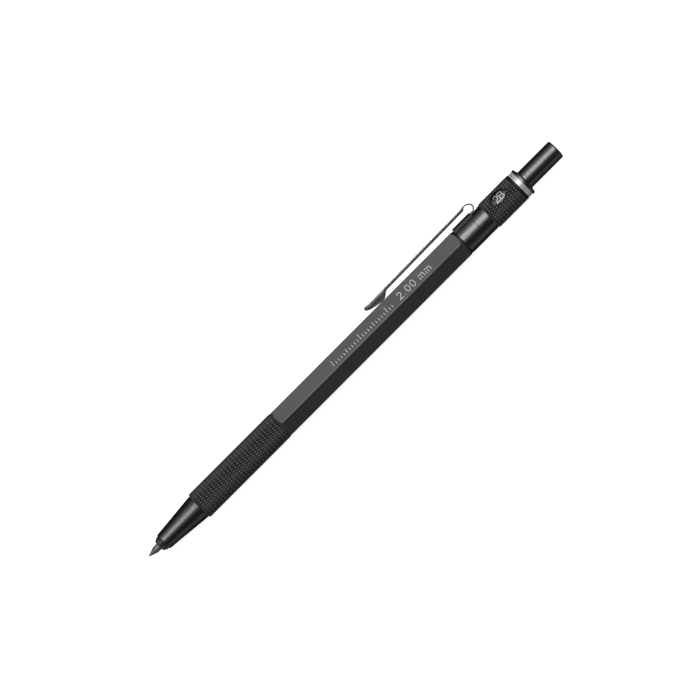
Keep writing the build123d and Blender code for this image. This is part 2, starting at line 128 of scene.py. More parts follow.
def lathe(name, points, segments=144, radius=0.05, steps=3, smooth=32.0, phase=0.0):
    """Turns a closed (s, r) profile about the pencil's axis. Points with r = 0 close on the axis."""
    prof = soften(points, radius, steps)
    bm = bmesh.new()
    rings = []
    for s, r in prof:
        if r < 1e-6:
            rings.append([bm.verts.new(at(s, 0, 0))])
        else:
            rings.append([bm.verts.new(at(s, r, phase + 360.0 * k / segments)) for k in range(segments)])
    for i in range(len(rings)):
        a, b = rings[i], rings[(i + 1) % len(rings)]
        if len(a) == 1 and len(b) == 1:
            continue
        for k in range(segments):
            k2 = (k + 1) % segments
            if len(a) == 1:
                bm.faces.new((a[0], b[k2], b[k]))
            elif len(b) == 1:
                bm.faces.new((a[k], a[k2], b[0]))
            else:
                bm.faces.new((a[k], a[k2], b[k2], b[k]))
    return from_bmesh(bm, name, smooth)


def ring_edges(bm, s, tol=1e-7):
    x = X0 + s * MM
    return [e for e in bm.edges if e.is_boundary and all(abs(v.co.x - x) < tol for v in e.verts)]


def knurl_tube(name, s0, s1, radius, bore, starts, pitch, depth, crest=0.42, chamfer=0.28, phase=0.0, tail=None):
    """A tube whose outside carries a true diamond knurl: two families of helical grooves leave
    flat-topped pyramids. pitch is the axial length of a diamond. Both ends have a turned chamfer.
    tail is a list of (s, r) rings turned plain behind the knurl."""
    bm = bmesh.new()
    height = bm.verts.layers.float.new("crest")
    corner, n2 = {}, 2 * starts

    def place(u, v, r, h):
        vert = bm.verts.new(at((u - v) * pitch / 2 + s0, r, phase + (u + v) * 180.0 / starts))
        vert[height] = h
        return vert

    def shared(i, j):
        key = (i - j, (i + j) % n2)
        if key not in corner:
            corner[key] = place(i, j, radius - depth, 0.0)
        return corner[key]

    first, last = -2, int(math.ceil((s1 - s0) * 2 / pitch)) + 2
    for d in range(first, last):
        for m in range(n2):
            if (m + d) % 2:
                continue
            i, j = (m + d) // 2, (m - d) // 2
            low = [shared(i, j), shared(i + 1, j), shared(i + 1, j + 1), shared(i, j + 1)]
            c, g = crest / 2, 0.5
            ctr = (i + g, j + g)
            top = [
                place(ctr[0] - c, ctr[1] - c, radius, 1.0), place(ctr[0] + c, ctr[1] - c, radius, 1.0),
                place(ctr[0] + c, ctr[1] + c, radius, 1.0), place(ctr[0] - c, ctr[1] + c, radius, 1.0),
            ]
            bm.faces.new(top)
            for k in range(4):
                bm.faces.new((low[k], low[(k + 1) % 4], top[(k + 1) % 4], top[k]))
    # trim to length, and put loops where the chamfers start
    for s, keep_after in ((s0, True), (s1, False)):
        bmesh.ops.bisect_plane(
            bm, geom=bm.verts[:] + bm.edges[:] + bm.faces[:], dist=1e-9, plane_co=at(s, 0, 0),
            plane_no=(1, 0, 0), clear_inner=keep_after, clear_outer=not keep_after,
        )
    for s in (s0 + chamfer, s1 - chamfer):
        bmesh.ops.bisect_plane(
            bm, geom=bm.verts[:] + bm.edges[:] + bm.faces[:], dist=1e-9, plane_co=at(s, 0, 0), plane_no=(1, 0, 0),
        )
    for v in bm.verts:
        s = (v.co.x - X0) / MM
        limit = radius - max(0.0, chamfer - (s - s0), chamfer - (s1 - s))
        y, z = v.co.y - AY, v.co.z - AZ
        r = math.hypot(y, z) / MM
        if r > limit:
            v.co.y, v.co.z = AY + y * limit / r, AZ + z * limit / r
        if abs(s - s0) < 1e-4:
            v.co.x = X0 + s0 * MM
        elif abs(s - s1) < 1e-4:
            v.co.x = X0 + s1 * MM
    # end faces and bore
    segments = 96
    inner = []
    plain = [(s0, bore)] + [(s1, bore)] if not tail else [(s0, bore), (tail[-1][0], bore)]
    for s, r in plain:
        inner.append([bm.verts.new(at(s, r, 360.0 * k / segments)) for k in range(segments)])
    for k in range(segments):
        bm.faces.new((inner[0][k], inner[0][(k + 1) % segments], inner[1][(k + 1) % segments], inner[1][k]))
    front = ring_edges(bm, s0)
    bmesh.ops.triangle_fill(bm, use_beauty=True, use_dissolve=False, edges=front)
    if tail:
        rings = []
        for s, r in tail:
            rings.append([bm.verts.new(at(s, r, 360.0 * k / segments)) for k in range(segments)])
        for a, b in zip(rings, rings[1:] + [inner[1]]):
            for k in range(segments):
                bm.faces.new((a[k], a[(k + 1) % segments], b[(k + 1) % segments], b[k]))
    back = ring_edges(bm, s1)
    bmesh.ops.triangle_fill(bm, use_beauty=True, use_dissolve=False, edges=back)
    return from_bmesh(bm, name, 24.0)


def cut_with(obj, cutter, operation="DIFFERENCE"):
    """Applies an exact boolean to obj's mesh and drops the cutter."""
    mod = obj.modifiers.new("cut", "BOOLEAN")
    mod.operation, mod.solver, mod.object = operation, "EXACT", cutter
    bpy.context.view_layer.update()
    deps = bpy.context.evaluated_depsgraph_get()
    mesh = bpy.data.meshes.new_from_object(obj.evaluated_get(deps), preserve_all_data_layers=True, depsgraph=deps)
    obj.modifiers.remove(mod)
    old, obj.data = obj.data, mesh
    bpy.data.meshes.remove(old)
    gone = cutter.data
    bpy.data.objects.remove(cutter)
    bpy.data.meshes.remove(gone)


def lens_prism(s, length, width, low, high, deg, steps=20):
    """A prism with a lens outline, standing off the axis at angle deg, from radius low to high."""
    half, sag = length / 2, width / 2
    rad = (half * half + sag * sag) / (2 * sag)
    outline = []
    for side in (1, -1):
        for k in range(steps):
            x = -half + length * k / steps
            x *= side
            y = math.sqrt(max(rad * rad - x * x, 0)) - (rad - sag)
            outline.append((x, y * side))
    a = math.radians(deg)
    out, tan = Vector((0, math.cos(a), math.sin(a))), Vector((0, math.sin(a), -math.cos(a)))
    bm = bmesh.new()
    loops = []
    for r in (low, high):
        base = Vector((X0 + s * MM, AY, AZ)) + out * r * MM
        loops.append([bm.verts.new(base + Vector((x * MM, 0, 0)) + tan * y * MM) for x, y in outline])
    n = len(outline)
    for k in range(n):
        bm.faces.new((loops[0][k], loops[0][(k + 1) % n], loops[1][(k + 1) % n], loops[1][k]))
    bm.faces.new(loops[0][::-1])
    bm.faces.new(loops[1])
    return from_bmesh(bm, "lens_cutter", None)


# ------------------------------------------------------------------ generic lettering: strokes on a 0..1 grid
def arc(cx, cy, rx, ry, a0, a1, n=14):
    return [
        (cx + rx * math.cos(math.radians(a0 + (a1 - a0) * k / n)), cy + ry * math.sin(math.radians(a0 + (a1 - a0) * k / n)))
        for k in range(n + 1)
    ]


GLYPHS = {
    "2": (0.60, [arc(0.30, 0.72, 0.27, 0.28, 165, -28) + [(0.03, 0.0), (0.58, 0.0)]]),
    "0": (0.62, [arc(0.30, 0.50, 0.28, 0.50, 90, 450, 28)]),
    "4": (0.62, [[(0.46, 0.0), (0.46, 1.0), (0.02, 0.30), (0.60, 0.30)]]),
    "B": (0.70, [[(0.04, 0.0), (0.04, 1.0)], [(0.04, 1.0), (0.42, 1.0)] + arc(0.42, 0.76, 0.20, 0.24, 90, -84)[1:],
                 [(0.04, 0.52), (0.42, 0.52)] + arc(0.42, 0.26, 0.26, 0.26, 90, -90)[1:] + [(0.04, 0.0)]]),
    "H": (0.66, [[(0.04, 0.0), (0.04, 1.0)], [(0.60, 0.0), (0.60, 1.0)], [(0.04, 0.52), (0.60, 0.52)]]),
    "F": (0.52, [[(0.04, 0.0), (0.04, 1.0), (0.52, 1.0)], [(0.04, 0.52), (0.44, 0.52)]]),
    "m": (0.86, [[(0.04, 0.0), (0.04, 0.68)],
                 [(0.04, 0.40)] + arc(0.22, 0.46, 0.18, 0.20, 160, 0, 8) + [(0.40, 0.0)],
                 [(0.40, 0.40)] + arc(0.61, 0.46, 0.20, 0.20, 160, 0, 8) + [(0.81, 0.0)]]),
    ".": (0.20, [[(0.06, 0.02), (0.12, 0.02)]]),
    " ": (0.15, []),
}


def text_width(text, size, gap):
    return sum(GLYPHS[c][0] * size for c in text) + gap * (len(text) - 1)


def stroke_outline(points, width):
    """Left and right edges of a thick line with mitred joins."""
    left, right = [], []
    n = len(points)
    for i in range(n):
        p = Vector(points[i])
        d0 = (p - Vector(points[i - 1])).normalized() if i else None
        d1 = (Vector(points[i + 1]) - p).normalized() if i < n - 1 else None
        if d0 is None:
            d0 = d1
            p = p - d1 * width * 0.35
        if d1 is None:
            d1 = d0
            p = p + d0 * width * 0.35
        m = d0 + d1
        m = m.normalized() if m.length > 1e-6 else d0
        nrm = Vector((-m.y, m.x))
        k = max(0.45, nrm.dot(Vector((-d0.y, d0.x))))
        left.append(p + nrm * width / 2 / k)
        right.append(p - nrm * width / 2 / k)
    return left, right


def print_mesh(name, strokes, width, lift, place):
    """Thin closed ribbons of paint: strokes are lists of (x, y) in mm, place maps (x, y, height)
    to a point. Each ribbon is lift mm thick and stands on the surface."""
    bm = bmesh.new()
    for pts in strokes:
        fine = [pts[0]]
        for a, b in zip(pts, pts[1:]):
            steps = max(1, int(math.hypot(b[0] - a[0], b[1] - a[1]) / 0.30))
            fine += [(a[0] + (b[0] - a[0]) * k / steps, a[1] + (b[1] - a[1]) * k / steps) for k in range(1, steps + 1)]
        left, right = stroke_outline(fine, width)
        rows = []
        for l, r in zip(left, right):
            rows.append([
                bm.verts.new(place(l.x, l.y, -0.004)), bm.verts.new(place(l.x, l.y, lift)),
                bm.verts.new(place(r.x, r.y, lift)), bm.verts.new(place(r.x, r.y, -0.004)),
            ])
        for a, b in zip(rows, rows[1:]):
            for k in range(4):
                bm.faces.new((a[k], a[(k + 1) % 4], b[(k + 1) % 4], b[k]))
        bm.faces.new(rows[0][::-1])
        bm.faces.new(rows[-1])
    return from_bmesh(bm, name, 40.0)


def text_strokes(text, size, gap, x=0.0, y=0.0):
    out = []
    for c in text:
        w, lines = GLYPHS[c]
        out += [[(x + px * size, y + py * size) for px, py in line] for line in lines]
        x += w * size + gap
    return out


# ------------------------------------------------------------------ materials
class Nodes:
    """Small helper over a material's node tree."""

    def __init__(self, name):
        self.mat = bpy.data.materials.new(name)
        self.mat.use_nodes = True
        self.tree = self.mat.node_tree
        self.bsdf = self.tree.nodes["Principled BSDF"]
        coord = self.tree.nodes.new("ShaderNodeTexCoord")
        self.coord = coord.outputs["Object"]

    def set(self, **values):
        for key, value in values.items():
            self.bsdf.inputs[key.replace("_", " ")].default_value = value
        return self

    def node(self, kind, inputs=None, **props):
        n = self.tree.nodes.new(kind)
        for k, v in props.items():
            setattr(n, k, v)
        for k, v in (inputs or {}).items():
            if hasattr(v, "is_linked") or isinstance(v, bpy.types.NodeSocket):
                self.tree.links.new(v, n.inputs[k])
            else:
                n.inputs[k].default_value = v
        return n

    def link(self, a, socket):
        self.tree.links.new(a, self.bsdf.inputs[socket])

    def mapped(self, scale, rotation=(0, 0, 0)):
        return self.node("ShaderNodeMapping", {"Vector": self.coord, "Scale": scale, "Rotation": rotation}).outputs["Vector"]

    def noise(self, scale, detail=3.0, rough=0.55, vector=None, distortion=0.0):
        n = self.node("ShaderNodeTexNoise", {"Vector": vector or self.coord, "Scale": scale, "Detail": detail,
                                             "Roughness": rough, "Distortion": distortion})
        return n.outputs["Fac"]

    def ramp(self, fac, *stops):
        n = self.node("ShaderNodeValToRGB", {"Fac": fac})
        el = n.color_ramp.elements
        while len(el) < len(stops):
            el.new(0.5)
        for e, (pos, col) in zip(el, stops):
            e.position = pos
            e.color = (*col, 1.0) if isinstance(col, tuple) else (col, col, col, 1.0)
        return n.outputs["Color"]

    def span(self, fac, low, high, a=0.3, b=0.7):
        return self.node("ShaderNodeMapRange", {"Value": fac, "From Min": a, "From Max": b, "To Min": low, "To Max": high}).outputs["Result"]

    def mix(self, fac, a, b, blend="MIX"):
        n = self.node("ShaderNodeMix", data_type="RGBA", blend_type=blend)
        for key, value in ((0, fac), (6, a), (7, b)):
            if isinstance(value, bpy.types.NodeSocket):
                self.tree.links.new(value, n.inputs[key])
            elif key == 0:
                n.inputs[0].default_value = value
            else:
                n.inputs[key].default_value = (*value, 1.0) if isinstance(value, tuple) else (value, value, value, 1.0)
        return n.outputs[2]

    def math(self, op, a, b=0.0):
        n = self.node("ShaderNodeMath", operation=op)
        for k, v in enumerate((a, b)):
            if isinstance(v, bpy.types.NodeSocket):
                self.tree.links.new(v, n.inputs[k])
            else:
                n.inputs[k].default_value = v
        return n.outputs[0]

    def bump(self, height, strength, distance, normal=None):
        ins = {"Height": height, "Strength": strength, "Distance": distance}
        if normal:
            ins["Normal"] = normal
        return self.node("ShaderNodeBump", ins).outputs["Normal"]

    def edges(self, low=0.50, high=0.56):
        """0 on flats, 1 on outer edges."""
        g = self.node("ShaderNodeNewGeometry")
        return self.node("ShaderNodeMapRange", {"Value": g.outputs["Pointiness"], "From Min": low, "From Max": high}).outputs["Result"]


def lacquer(name, tone, rough=0.30, wear=0.05, turned=0.25, ior=1.5):
    """Black lacquer on turned metal: faint tool rings, a fine orange peel, fine dust and rubbed edges."""
    m = Nodes(name)
    mottle = m.noise(900.0, 4.0)
    base = m.mix(mottle, tuple(c * 0.82 for c in tone), tuple(c * 1.18 for c in tone))
    lighten = m.math("MULTIPLY", m.edges(0.515, 0.60), m.span(m.noise(2600.0, 3.0), 0.15, 1.0))
    colour = m.mix(m.math("MULTIPLY", lighten, 0.55), base, (wear, wear, wear * 1.02))
    m.link(colour, "Base Color")
    m.link(m.span(m.noise(1500.0, 5.0, 0.6), rough - 0.035, rough + 0.045), "Roughness")
    m.set(IOR=ior)
    rings = m.noise(1.0, 2.0, 0.6, m.mapped((14000.0, 40.0, 40.0)))
    first = m.bump(rings, turned, 0.000004)
    peel = m.noise(5200.0, 2.0, 0.5)
    m.link(m.bump(peel, 0.18, 0.000006, first), "Normal")
    return m.mat


def barrel_finish():
    """Satin graphite-grey lacquer: metallic flake, lengthwise extrusion lines, and edges lightened partly as rubbed
    wear and partly as a painted highlight along the rounded corners.
    """
    m = Nodes("barrel_grey")
    flake = m.noise(9000.0, 2.0, 0.7)
    cloud = m.noise(160.0, 3.0)
    lines = m.noise(1.0, 3.0, 0.6, m.mapped((60.0, 9000.0, 9000.0)))
    base = m.mix(m.span(cloud, 0.0, 1.0), (0.0285, 0.0285, 0.029), (0.0345, 0.0345, 0.035))
    base = m.mix(m.span(flake, 0.0, 0.55, 0.45, 0.75), base, (0.060, 0.060, 0.061))
    # painted highlight, partly rubbed wear: the hexagon's rounded corners are lightened towards 0.14
    lighten = m.math("MULTIPLY", m.edges(0.52, 0.60), m.span(m.noise(1800.0, 4.0), 0.2, 1.0))
    m.link(m.mix(m.math("MULTIPLY", lighten, 0.35), base, (0.14, 0.14, 0.142)), "Base Color")
    m.link(m.span(m.noise(2400.0, 4.0, 0.6), 0.42, 0.50), "Roughness")
    m.set(Metallic=0.80, IOR=1.5, Coat_Weight=0.35, Coat_Roughness=0.16)
    first = m.bump(lines, 0.12, 0.000003)
    m.link(m.bump(flake, 0.10, 0.000003, first), "Normal")
    return m.mat


def steel(name, tone, rough, along="X", metallic=1.0, depth=0.35):
    """Satin metal with fine brush lines along or around the pencil."""
    m = Nodes(name)
    scale = (90.0, 11000.0, 11000.0) if along == "X" else (13000.0, 50.0, 50.0)
    brush = m.noise(1.0, 4.0, 0.62, m.mapped(scale))
    cloud = m.noise(420.0, 3.0)
    base = m.mix(m.span(brush, 0.0, 1.0, 0.35, 0.65), tuple(c * 0.88 for c in tone), tuple(min(c * 1.08, 1) for c in tone))
    base = m.mix(m.span(cloud, 0.0, 0.35), base, tuple(c * 0.86 for c in tone))
    m.link(base, "Base Color")
    m.link(m.span(m.math("ADD", m.math("MULTIPLY", brush, 0.6), m.math("MULTIPLY", cloud, 0.4)), rough - 0.06, rough + 0.09), "Roughness")
    m.set(Metallic=metallic)
    m.link(m.bump(brush, depth, 0.000003), "Normal")
    return m.mat


def knurl_paint_and_shade(name, tone):
    """Semi-matt black over knurling: the grooves are painted dark as shade in the recesses, and the crests are
    lightened, partly as rubbed wear and partly as a painted highlight.
    """
    m = Nodes(name)
    crest = m.node("ShaderNodeAttribute", attribute_name="crest").outputs["Fac"]
    grain = m.noise(3600.0, 4.0, 0.6)
    # painted shade: the grooves fall to 6 % of the tone, standing in for the shade in the recesses
    low = tuple(c * 0.06 for c in tone)
    base = m.mix(m.span(crest, 0.0, 1.0, 0.40, 0.95), low, tone)
    # painted highlight, partly rubbed wear: the flat crests are lightened up to 1.9 times the tone
    lighten = m.math("MULTIPLY", m.span(crest, 0.0, 1.0, 0.90, 1.0), m.span(grain, 0.0, 1.0, 0.40, 0.62))
    m.link(m.mix(m.math("MULTIPLY", lighten, 0.45), base, tuple(c * 1.9 for c in tone)), "Base Color")
    m.link(m.math("ADD", m.span(crest, 0.56, 0.40, 0.2, 1.0), m.span(grain, -0.03, 0.05)), "Roughness")
    m.set(IOR=1.22)
    m.link(m.bump(grain, 0.16, 0.000005), "Normal")
    return m.mat


def graphite():
    """Clay-bonded graphite: metallic grey sheen, lengthwise drag lines and a granular break."""
    m = Nodes("graphite")
    drag = m.noise(1.0, 4.0, 0.65, m.mapped((350.0, 5200.0, 5200.0)))
    grain = m.noise(7000.0, 3.0, 0.7)
    base = m.mix(m.span(drag, 0.0, 1.0, 0.38, 0.62), (0.022, 0.022, 0.023), (0.066, 0.066, 0.068))
    base = m.mix(m.span(grain, 0.0, 0.5, 0.45, 0.7), base, (0.105, 0.105, 0.108))
    m.link(base, "Base Color")
    m.link(m.span(grain, 0.34, 0.52), "Roughness")
    m.set(Metallic=0.45)
    first = m.bump(drag, 0.35, 0.000010)
    m.link(m.bump(grain, 0.25, 0.000005, first), "Normal")
    return m.mat


def paint(name, tone):
    """Pad-printed ink, slightly uneven."""
    m = Nodes(name)
    cover = m.noise(4200.0, 3.0, 0.6)
    m.link(m.mix(m.span(cover, 0.0, 1.0, 0.30, 0.55), tuple(c * 0.80 for c in tone), tone), "Base Color")
    m.link(m.span(cover, 0.42, 0.55), "Roughness")
    m.link(m.bump(cover, 0.2, 0.000003), "Normal")
    return m.mat


def plain(name, tone, rough, metallic=0.0, scale=1800.0):
    """A simple mottled finish for pieces inside the pencil."""
    m = Nodes(name)
    n = m.noise(scale, 4.0)
    m.link(m.mix(n, tuple(c * 0.8 for c in tone), tuple(min(1, c * 1.15) for c in tone)), "Base Color")
    m.link(m.span(n, rough - 0.06, rough + 0.08), "Roughness")
    m.set(Metallic=metallic)
    m.link(m.bump(n, 0.2, 0.000004), "Normal")
    return m.mat


MAT = {
    "nose": lacquer("nose_black", (0.0032, 0.0032, 0.0034), 0.32, ior=1.49),
    "collars": lacquer("collar_black", (0.0032, 0.0032, 0.0034), 0.31, ior=1.56),
    "button": lacquer("button_black", (0.0032, 0.0032, 0.0034), 0.33, ior=1.55),
    "end_ring": lacquer("end_ring_black", (0.0032, 0.0032, 0.0034), 0.33, ior=1.55),
    "clutch": lacquer("clutch_black", (0.0045, 0.0045, 0.0048), 0.26, wear=0.05, ior=1.46),
    "barrel": barrel_finish(),
    "grip": knurl_paint_and_shade("grip_black", (0.040, 0.040, 0.0405)),
    "indicator": knurl_paint_and_shade("indicator_black", (0.040, 0.040, 0.0405)),
    "clip": steel("clip_steel", (0.36, 0.36, 0.365), 0.27, "X"),
    # painted shade: the bend's sheared edges are a rougher steel darkened to 0.03, standing in for shade
    "cut_edge_shade": steel("sheared_edge_shade", (0.030, 0.030, 0.031), 0.50, "X", metallic=0.8),
    "accent_ring": steel("ring_aluminium", (0.26, 0.26, 0.263), 0.38, "around", metallic=0.40),
    "lead": graphite(),
    "drum": lacquer("drum_black", (0.006, 0.006, 0.006), 0.40, turned=0.1, ior=1.40),
    "ink": paint("print_grey", (0.30, 0.30, 0.30)),
    "grade_ink": paint("grade_white", (0.30, 0.30, 0.30)),
    "brass": plain("brass_tube", (0.60, 0.44, 0.19), 0.30, 1.0),
    "spring_steel": plain("bright_steel", (0.52, 0.53, 0.55), 0.28, 1.0),
    "nitrile": plain("nitrile_black", (0.02, 0.02, 0.02), 0.6),
    # painted shade: the core's flange, seen in the gap between barrel and collar, is a near-black lacquer with little
    # gloss so the gap reads dark
    "painted_gap_shade": lacquer("core_painted_gap_shade", (0.0025, 0.0025, 0.0026), 0.50, ior=1.22),
    "core": steel("core_aluminium", (0.62, 0.62, 0.63), 0.34, "around"),
}


def dress(obj, key):
    obj.data.materials.clear()
    obj.data.materials.append(MAT[key])
    return obj


def stand_for(obj, node, body, slot, finish=None):
    """obj is the finished look of a CAD node."""
    dress(obj, finish or slot)
    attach(obj, body)
    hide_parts(node)
    return obj


# ------------------------------------------------------------------ lead
lead = lathe(
    "lead_graphite",
    [(0.02, 0, 0), (0.0, 0.05, 0), (0.05, 0.115, 0.05), (2.60, 1.0, 0.5), (119.85, 1.0, 0.05), (120.0, 0.85, 0.05), (120.0, 0, 0)],
    96, 0.05,
)
stand_for(lead, "lead", "lead", "lead")

# ------------------------------------------------------------------ nose cone
tan15 = math.tan(math.radians(15))
nose = lathe(
    "nose_turned",
    [(5.45, 2.05, 0.02), (5.45, 2.22, 0.03), (5.64, 2.46, 0.05), (5.83, 2.506, 0.2), (7.95, 2.691, 0), (10.60, 2.932, 0),
     (13.25, 3.184, 0), (15.90, 3.444, 0), (18.00, 3.634, 0), (18.74, 3.715, 0.04), (18.82, 3.68, 0.02), (18.82, 3.20, 0),
     (23.7, 3.20, 0), (24.0, 2.90, 0), (24.0, 2.75, 0), (18.0, 2.75, 0), (18.0, 2.40, 0), (7.6, 2.40, 0),
     (6.6, 2.05 - 0.75 * tan15, 0.02), (6.2, 2.05 - 0.75 * tan15, 0.02)],
    160, 0.03,
)
stand_for(nose, "nose_cone", "body", "nose")

# ------------------------------------------------------------------ hexagonal barrel
FLAT, CORNER, BORE = 4.0, 0.20, 3.10
B0, B1 = 49.55, 117.40


def hexagon_outline():
    """(angle, radius) round the hexagon: a flat faces up and every corner is rounded."""
    out = []
    reach = (FLAT - CORNER) * math.tan(math.radians(30))
    far = (FLAT - CORNER) / math.cos(math.radians(30))
    for k in range(6):
        normal = 30.0 + 60.0 * k
        n, u = Vector((math.cos(math.radians(normal)), math.sin(math.radians(normal)))), None
        u = Vector((-n.y, n.x))
        for f in (-1, -0.96, -0.8, -0.6, -0.4, -0.2, 0, 0.2, 0.4, 0.6, 0.8, 0.96, 1):
            out.append(n * FLAT + u * reach * f)
        corner = Vector((math.cos(math.radians(normal + 30)), math.sin(math.radians(normal + 30)))) * far
        for j in range(1, 7):
            a = math.radians(normal + 60.0 * j / 7)
            out.append(corner + Vector((math.cos(a), math.sin(a))) * CORNER)
    return [(math.degrees(math.atan2(p.y, p.x)), p.length) for p in out]


def hex_barrel():
    outline = hexagon_outline()
    bm = bmesh.new()

    def ring(place):
        return [bm.verts.new(at(*place(r), a)) for a, r in outline]

    rings = [
        ring(lambda r: (B0 + 0.05, BORE)), ring(lambda r: (B0, BORE + 0.05)), ring(lambda r: (B0, FLAT - 0.06)),
        ring(lambda r: (B0 + 0.012, FLAT - 0.015)), ring(lambda r: (B0 + 0.04 + 0.9 * (r - FLAT), r - 0.10 * (r - FLAT))),
        ring(lambda r: (B0 + 0.09 + 1.03 * (r - FLAT), r)), ring(lambda r: (B0 + 0.22 + 1.05 * (r - FLAT), r)),
        ring(lambda r: (B0 + 1.3, r)), ring(lambda r: (B0 + 12, r)), ring(lambda r: (B0 + 34, r)), ring(lambda r: (B1 - 12, r)),
        ring(lambda r: (B1 - 1.3, r)),
        ring(lambda r: (B1 - 0.22 - 1.05 * (r - FLAT), r)), ring(lambda r: (B1 - 0.09 - 1.03 * (r - FLAT), r)),
        ring(lambda r: (B1 - 0.04 - 0.9 * (r - FLAT), r - 0.10 * (r - FLAT))), ring(lambda r: (B1 - 0.012, FLAT - 0.015)),
        ring(lambda r: (B1, FLAT - 0.06)), ring(lambda r: (B1, BORE + 0.05)), ring(lambda r: (B1 - 0.05, BORE)),
    ]
    n = len(outline)
    for i in range(len(rings)):
        a, b = rings[i], rings[(i + 1) % len(rings)]
        for k in range(n):
            bm.faces.new((a[k], a[(k + 1) % n], b[(k + 1) % n], b[k]))
    return from_bmesh(bm, "barrel_hexagon", 30.0)


stand_for(hex_barrel(), "barrel", "body", "barrel")

# ------------------------------------------------------------------ knurled grip
grip = knurl_tube("grip_knurled", 18.90, 49.53, 4.155, 3.22, 35, 30.6 / 14, 0.14, crest=0.30, phase=1.3)
stand_for(grip, "grip_sleeve", "body", "grip")

# ------------------------------------------------------------------ indicator sleeve with its window
sleeve = knurl_tube(
    "indicator_knurled", 127.54, 137.80, 4.185, 3.62, 34, 1.97, 0.14, crest=0.30, chamfer=0.22, phase=2.0,
    tail=[(137.80, 4.11), (137.84, 4.15), (138.46, 4.15), (138.53, 4.12), (138.56, 4.05)],
)
cut_with(sleeve, lens_prism(132.72, 5.60, 3.40, 2.5, 6.0, 90.0))
sleeve.data.shade_smooth()
sleeve.data.set_sharp_from_angle(angle=math.radians(24))
stand_for(sleeve, "indicator_sleeve", "indicator", "indicator")

# ------------------------------------------------------------------ grade drum and its six grades
drum = lathe(
    "drum_turned",
    [(127.5, 3.19, 0), (127.5, 3.57, 0.03), (136.4, 3.57, 0.02), (136.4, 3.37, 0), (137.2, 3.37, 0), (137.2, 3.57, 0.02),
     (138.6, 3.57, 0.03), (138.6, 3.19, 0)],
    144, 0.02,
)
stand_for(drum, "grade_drum", "body", "drum")
grades = ["2B", "B", "HB", "F", "H", "2H"]
GH, GG = 2.10, 0.26


def on_drum(up):
    def place(x, y, h):
        return at(x, 3.57 + h, 90.0 + up - math.degrees(y / 3.57))
    return place


for n, grade in enumerate(grades):
    w = text_width(grade, GH, GG)
    mark = print_mesh(
        f"grade_{grade}", text_strokes(grade, GH, GG, 132.85 - w / 2, -GH / 2), 0.17, 0.012, on_drum(60.0 * n)
    )
    dress(mark, "grade_ink")
    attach(mark, "body")

# ------------------------------------------------------------------ rings, button and cap
accent = lathe(
    "accent_turned",
    [(138.6, 3.19, 0), (138.6, 4.01, 0.05), (140.0, 4.01, 0.05), (140.0, 3.20, 0), (139.6, 3.20, 0), (139.6, 3.19, 0)], 144, 0.05,
)
stand_for(accent, "accent_ring", "body", "accent_ring")
end_ring = lathe(
    "end_ring_turned",
    [(140.0, 2.84, 0), (140.0, 4.17, 0.05), (140.66, 4.17, 0.10), (140.93, 3.20, 0.05), (141.10, 2.88, 0.04), (141.06, 2.84, 0.02)],
    144, 0.05,
)
stand_for(end_ring, "end_ring", "body", "end_ring")
button = lathe(
    "button_turned",
    [(128.0, 1.85, 0), (128.0, 2.495, 0.03), (128.3, 2.795, 0.05), (148.40, 2.795, 0.02), (148.40, 2.22, 0.02), (143.0, 2.22, 0), (143.0, 1.85, 0)],
    144, 0.05,
)
stand_for(button, "push_button", "push_assembly", "button")
cap = lathe(
    "cap_turned",
    [(144.0, 1.60, 0), (144.0, 2.05, 0.03), (144.2, 2.20, 0.05), (148.41, 2.20, 0), (148.41, 2.795, 0.02), (152.62, 2.795, 0.30),
     (152.83, 2.30, 0.30), (152.885, 1.80, 0), (152.925, 1.20, 0), (152.945, 0.60, 0), (152.95, 0, 0), (149.6, 0, 0), (149.6, 1.60, 0)],
    144, 0.05, 5,
)
stand_for(cap, "button_cap", "cap", "button")

# ------------------------------------------------------------------ collars: the front one bridges the clip's leg
CORE_THREAD = 3.10


def bridge_mesh(s0, s1, ring_end, crown, foot, spread):
    """A bulged lug over the clip's side of the collar: crown and foot are radii, spread its half angle.
    It is sunk into the collar up to ring_end and hangs clear of what lies behind."""
    def loop(s, low, drop):
        points = []
        for k in range(41):
            d = -spread + 2 * spread * k / 40
            f = min(1.0, max(0.0, (abs(d) - 18.5) / (spread - 18.5)))
            points.append((d, foot + (crown - drop - foot) * (1 - f * f * (3 - 2 * f))))
        under = [(d, min(low, r - 0.03)) for d, r in reversed(points)]
        return [bm.verts.new(at(s, r, 30.0 + d)) for d, r in points + under]

    bm = bmesh.new()
    rows = [loop(s0, 3.70, 0.13), loop(s0 + 0.03, 3.70, 0.05), loop(s0 + 0.09, 3.70, 0.01), loop(s0 + 0.16, 3.70, 0.0),
            loop(ring_end - 0.05, 3.70, 0.0), loop(ring_end - 0.05 + 0.001, 3.94, 0.0), loop(s1 - 0.20, 3.94, 0.0),
            loop(s1 - 0.10, 3.94, 0.015), loop(s1 - 0.03, 3.94, 0.06), loop(s1, 3.94, 0.13)]
    n = len(rows[0])
    for a, b in zip(rows, rows[1:]):
        for k in range(n):
            bm.faces.new((a[k], a[(k + 1) % n], b[(k + 1) % n], b[k]))
    bm.faces.new(rows[0][::-1])
    bm.faces.new(rows[-1])
    return from_bmesh(bm, "bridge", 35.0)


core = lathe(
    "head_core_turned",
    [(110.0, 2.30, 0), (110.0, CORE_THREAD - 0.3, 0.02), (110.3, CORE_THREAD, 0.02), (117.40, CORE_THREAD, 0), (117.40, 3.86, 0.03),
     (117.90, 3.86, 0.03), (117.90, 3.19, 0), (139.6, 3.19, 0), (139.6, 2.86, 0), (121.0, 2.86, 0), (120.4, 2.30, 0)], 144, 0.02,
)
# the core wears the near-black painted-shade lacquer instead of its own aluminium, so the gap behind the barrel stays
# dark
stand_for(core, "head_core", "body", "core", "painted_gap_shade")

